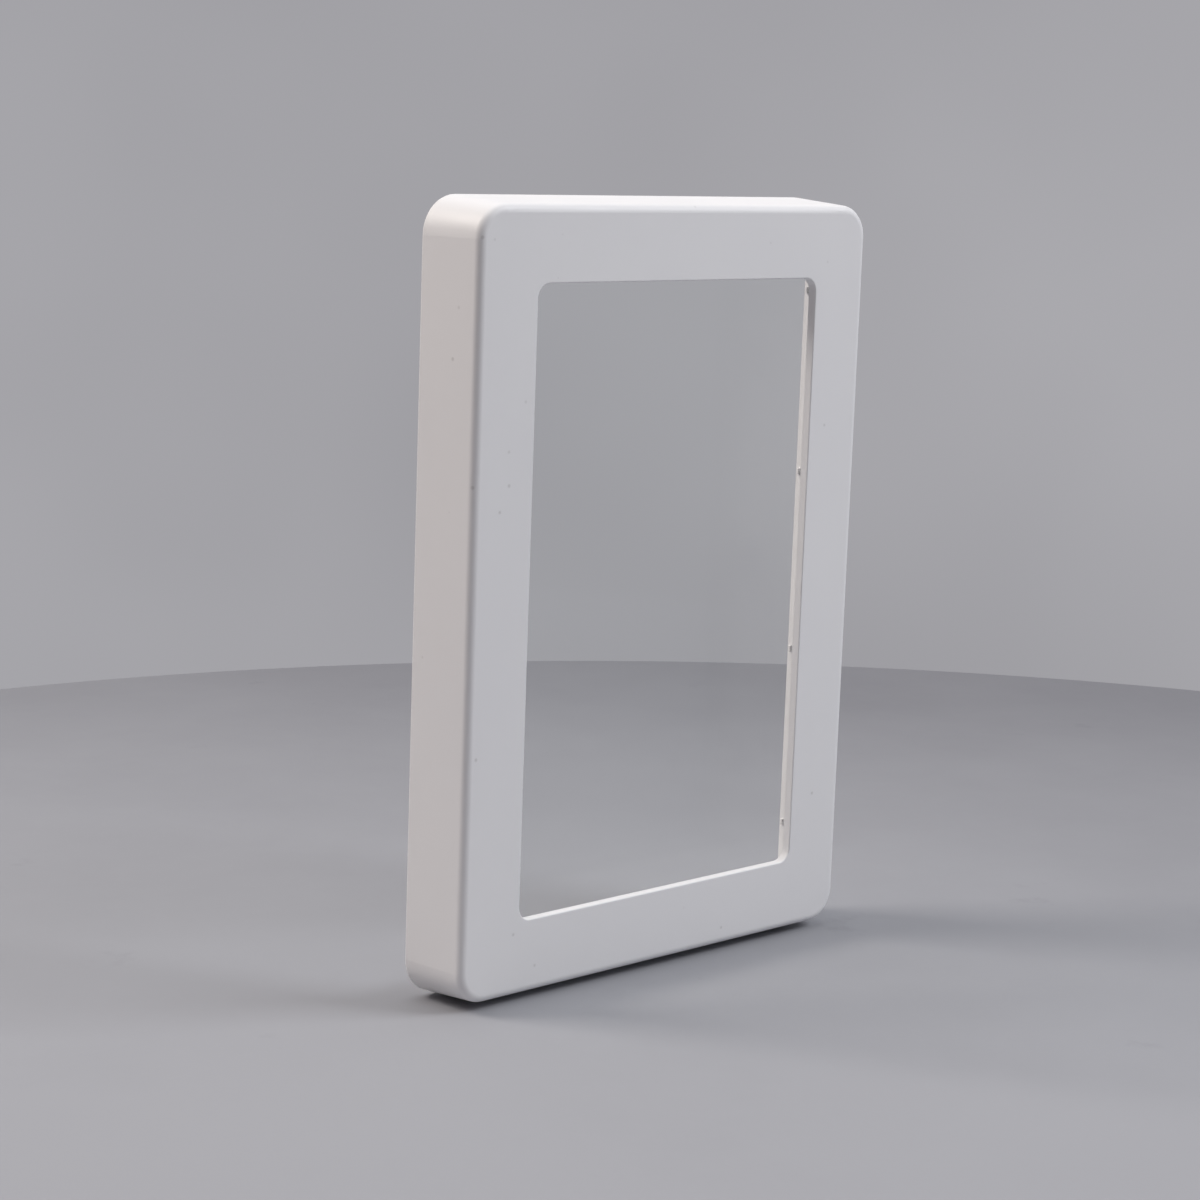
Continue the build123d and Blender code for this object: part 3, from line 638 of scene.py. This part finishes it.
foot_low, foot_high = box_mm("prop_foot")
shape = bmesh.new()
for k in range(RIB_COUNT):
    x = foot_high.x - RIB_FROM_END - RIB_PITCH * k
    bar(shape, (x, foot_high.y + RIB_OUT, middle_of(foot_low, foot_high).z), RIB_SIZE, RIB_ROUNDING)
finish("prop_ribs", shape, "white_cover", "prop")

# %% [markdown]
# ## On the circuit board
# A row of small resistors sits in front of the display's connector. Each is a dark ceramic body with a tinned
# cap at both ends, so bodies and caps are two meshes with a finish each.

# %% Resistors
RESISTOR_COUNT = 10
RESISTOR_PITCH = 2.4
RESISTOR_BODY = (0.64, 0.50, 0.34)
BODY_ROUNDING = 0.03
RESISTOR_CAP = (0.22, 0.54, 0.37)
CAP_ROUNDING = 0.05
ROW_FROM_EDGE = 1.1

board_low, board_high = box_mm("main_board")
ribbon_low, ribbon_high = box_mm("ribbon_connector")
row_y = board_low.y + ROW_FROM_EDGE
first_x = middle_of(ribbon_low, ribbon_high).x - RESISTOR_PITCH * (RESISTOR_COUNT - 1) / 2
bodies, caps = bmesh.new(), bmesh.new()
for k in range(RESISTOR_COUNT):
    x = first_x + k * RESISTOR_PITCH
    bar(bodies, (x, row_y, board_high.z + RESISTOR_BODY[2] / 2), RESISTOR_BODY, BODY_ROUNDING)
    for end in (-1, 1):
        offset = end * (RESISTOR_BODY[0] + RESISTOR_CAP[0]) / 2
        bar(caps, (x + offset, row_y, board_high.z + RESISTOR_CAP[2] / 2), RESISTOR_CAP, CAP_ROUNDING)
finish("resistor_bodies", bodies, "chip_black", "frame")
finish("resistor_caps", caps, "bright_steel", "frame")

# %% [markdown]
# ## The antenna's trace
# A flat antenna is a copper line folded back and forth on a film. Short bars that overlap at their ends make
# the folded line.

# %% Antenna trace
FOLD_COUNT = 9
TRACE_WIDTH = 0.5
TRACE_THICK = 0.08
TRACE_ROUNDING = 0.02
FILM_MARGIN = (2.0, 1.0)

film_low, film_high = box_mm("wifi_antenna")
fold_pitch = (film_high.x - film_low.x - 2 * FILM_MARGIN[0]) / FOLD_COUNT
fold_low, fold_high = film_low.z + FILM_MARGIN[1], film_high.z - FILM_MARGIN[1]
upright = (TRACE_WIDTH, TRACE_THICK, fold_high - fold_low)
level = (fold_pitch + TRACE_WIDTH, TRACE_THICK, TRACE_WIDTH)
shape = bmesh.new()
for k in range(FOLD_COUNT + 1):
    x = film_low.x + FILM_MARGIN[0] + k * fold_pitch
    bar(shape, (x, film_low.y, (fold_low + fold_high) / 2), upright, TRACE_ROUNDING)
    if k < FOLD_COUNT:
        z = fold_high if k % 2 == 0 else fold_low
        bar(shape, (x + fold_pitch / 2, film_low.y, z), level, TRACE_ROUNDING)
finish("antenna_trace", shape, "contact_gold", "frame")

# %% [markdown]
# ## Sleeves on the battery leads
# Where each lead leaves the battery, a short heat-shrunk sleeve stops it from breaking at the joint.

# %% Lead sleeves
SLEEVE_LENGTH = 5.0
SLEEVE_RADIUS = 0.95
SLEEVE_ROUNDING = 0.2

pack_low, pack_high = box_mm("battery_pack")
for node in ("battery_lead_red", "battery_lead_black"):
    part_low, part_high = box_mm(node)
    lead_radius = (part_high.y - part_low.y) / 2
    shape = bmesh.new()
    bmesh.ops.create_cone(shape, cap_ends=True, segments=32, radius1=SLEEVE_RADIUS * MM,
                          radius2=SLEEVE_RADIUS * MM, depth=SLEEVE_LENGTH * MM)
    rims = [edge for edge in shape.edges if abs(edge.verts[0].co.z - edge.verts[1].co.z) < 0.1 * MM]
    bmesh.ops.bevel(shape, geom=rims, offset=SLEEVE_ROUNDING * MM, segments=3, profile=0.5,
                    affect="EDGES", material=-1)
    bmesh.ops.rotate(shape, verts=shape.verts, matrix=Matrix.Rotation(pi / 2, 3, "Y"))
    centre = middle_of(part_low, part_high)
    centre.x, centre.z = pack_low.x - SLEEVE_LENGTH / 2, part_high.z - lead_radius
    bmesh.ops.translate(shape, verts=shape.verts, vec=centre * MM)
    finish(node + "_sleeve", shape, "lead_grey", "frame")

# %% [markdown]
# ## The floor
# The floor is a wide plain disc in soft grey with faint mottling. Painted shade darkens it towards its far
# side and its right, standing in for the light falling off and the frame's soft shadow. Its top lies where
# the frame's feet end.

# %% Floor
FLOOR_RADIUS = 0.55
FLOOR_MIDDLE = (-0.008, -0.123)
FLOOR_THICK = 0.004
# painted shade: the way along which the floor darkens, standing in for falling light and the frame's shadow
PAINTED_SHADE_WAY = (0.78, 0.55, 0.0)
SHADE_START, SHADE_END = -0.03, 0.42
FLOOR_BASE = (0.342, 0.348, 0.374)
# the dark floor tone, reached by the painted shade and by the real scuffs
FLOOR_SHADE_AND_SCUFF = (0.215, 0.218, 0.240)
MOTTLE_DEPTH = 0.10
SCUFF_DEPTH = 0.35


def floor_material():
    """Grey board with painted shade towards its far side and its right, standing in for falling light and the
    frame's shadow, with soft scuffs.
    """
    material, shader = start_material("floor_grey")
    # painted shade: the floor darkens towards its far side and its right, in place of light falling off and a
    # cast shadow
    across = lean(material, object_place(material), PAINTED_SHADE_WAY)
    painted_shade = spread(material, across, 0.0, 1.0, SHADE_START, SHADE_END)
    mottles = cloud(material, 7.0, 6.0, 0.62)
    mottling = spread(material, mottles, -MOTTLE_DEPTH, MOTTLE_DEPTH, *NOISE_MIDDLE)
    scuffs = spread(material, cloud(material, 19.0, 9.0, 0.68), 0.0, SCUFF_DEPTH, 0.63, 0.74)
    total = combine(material, "ADD", combine(material, "ADD", painted_shade, mottling), scuffs)
    join(material, two_tones(material, total, FLOOR_BASE, FLOOR_SHADE_AND_SCUFF), shader.inputs["Base Color"])
    join(material, spread(material, cloud(material, 40.0), 0.60, 0.75), shader.inputs["Roughness"])
    bumps(material, shader, cloud(material, 700.0, 3.0), 30e-6)
    return material


shape = bmesh.new()
bmesh.ops.create_cone(shape, cap_ends=True, segments=256, radius1=FLOOR_RADIUS, radius2=FLOOR_RADIUS,
                      depth=FLOOR_THICK)
bmesh.ops.translate(shape, verts=shape.verts, vec=(*FLOOR_MIDDLE, -FLOOR_THICK / 2))
floor = mesh_object("floor", shape)
floor.data.materials.append(floor_material())
floor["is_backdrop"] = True
print(f"floor {2 * FLOOR_RADIUS:.2f} m across")

# %% [markdown]
# ## The lights
# White plastic is drawn by what it reflects, so the lights are large and soft. One overhead makes the top of
# the shell its brightest surface, one high on the right lights the front, and a warm one from the back left
# rakes the side.

# %% Soft boxes
LIT_POINT = (0.0, 0.0, cad_high.z / 2)
SOFT_BOXES = {
    "overhead": dict(place=(-0.05, 0.15, 1.25), size=(0.9, 0.9), watts=4.1, colour=(0.99, 0.995, 0.99)),
    "right_front": dict(place=(0.80, -0.85, 1.15), size=(0.7, 0.7), watts=13.0, colour=(0.97, 0.98, 1.0)),
    "left_back": dict(place=(-0.84, 0.82, 1.15), size=(0.6, 0.5), watts=13.4, colour=(1.0, 0.93, 0.86)),
}


def soft_box(name, place, size, watts, colour):
    """A rectangular light that looks at the middle of the frame."""
    data = bpy.data.lights.new(name, "AREA")
    data.shape = "RECTANGLE"
    data.size, data.size_y = size
    data.energy = watts
    data.color = colour
    lamp = bpy.data.objects.new(name, data)
    lamp.location = place
    lamp.rotation_euler = (Vector(LIT_POINT) - Vector(place)).to_track_quat("-Z", "Y").to_euler()
    scene.collection.objects.link(lamp)


for name, setting in SOFT_BOXES.items():
    soft_box(name, **setting)
print(f"{len(SOFT_BOXES)} soft boxes")

# %% [markdown]
# ## The surroundings
# The world stands for a room with plain grey walls. Noise over the directions gives them soft folds of tone.
# The room gets dimmer towards the side that the camera stands on, and a little warmer towards the left, and
# both changes are only a matter of how far a direction leans that way. The world has a node tree of its own,
# so the helpers for materials work on it too.

# %% Surroundings
FOLD_SCALE = 2.6
DARK_FOLD = (0.30, (0.315, 0.311, 0.333, 1.0))
LIGHT_FOLD = (0.70, (0.400, 0.396, 0.420, 1.0))
DIM_SIDE, DIM_FROM, DIM_TO, DIM_STRENGTH = (-0.69, -0.72, 0.0), 0.1, 0.8, 0.50
WARM_SIDE, WARM_TO, WARM_TINT = (-0.97, 0.24, 0.0), 0.5, (0.97, 0.86, 0.80)

world = bpy.data.worlds.new("studio")
scene.world = world
world.use_nodes = True
background = world.node_tree.nodes["Background"]
direction = add(world, "TexCoord").outputs["Generated"]

folds = add(world, "TexNoise", Scale=FOLD_SCALE, Detail=3.0)
join(world, direction, folds.inputs["Vector"])
tones = add(world, "ValToRGB")
join(world, folds.outputs["Fac"], tones.inputs["Fac"])
for stop, (place, colour) in zip(tones.color_ramp.elements, (DARK_FOLD, LIGHT_FOLD)):
    stop.position, stop.color = place, colour

dim = spread(world, lean(world, direction, DIM_SIDE), 1.0, DIM_STRENGTH, DIM_FROM, DIM_TO)
join(world, dim, background.inputs["Strength"])
warm = spread(world, lean(world, direction, WARM_SIDE), 0.0, 1.0, 0.0, WARM_TO)
tinted = layer_over(world, warm, tones.outputs["Color"], WARM_TINT, "MULTIPLY")
join(world, tinted, background.inputs["Color"])
print("a softly folded grey surround:", len(world.node_tree.nodes), "nodes")

# %% [markdown]
# ## Sizes
# The last step measures the box again and prints how much it grew. The growth should be nothing in every
# direction.

# %% Measure the sizes and finish
low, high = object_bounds()
growth = [round(((high - low)[k] - (cad_high - cad_low)[k]) / MM, 2) for k in range(3)]
print("visual box grows by", growth, "mm")
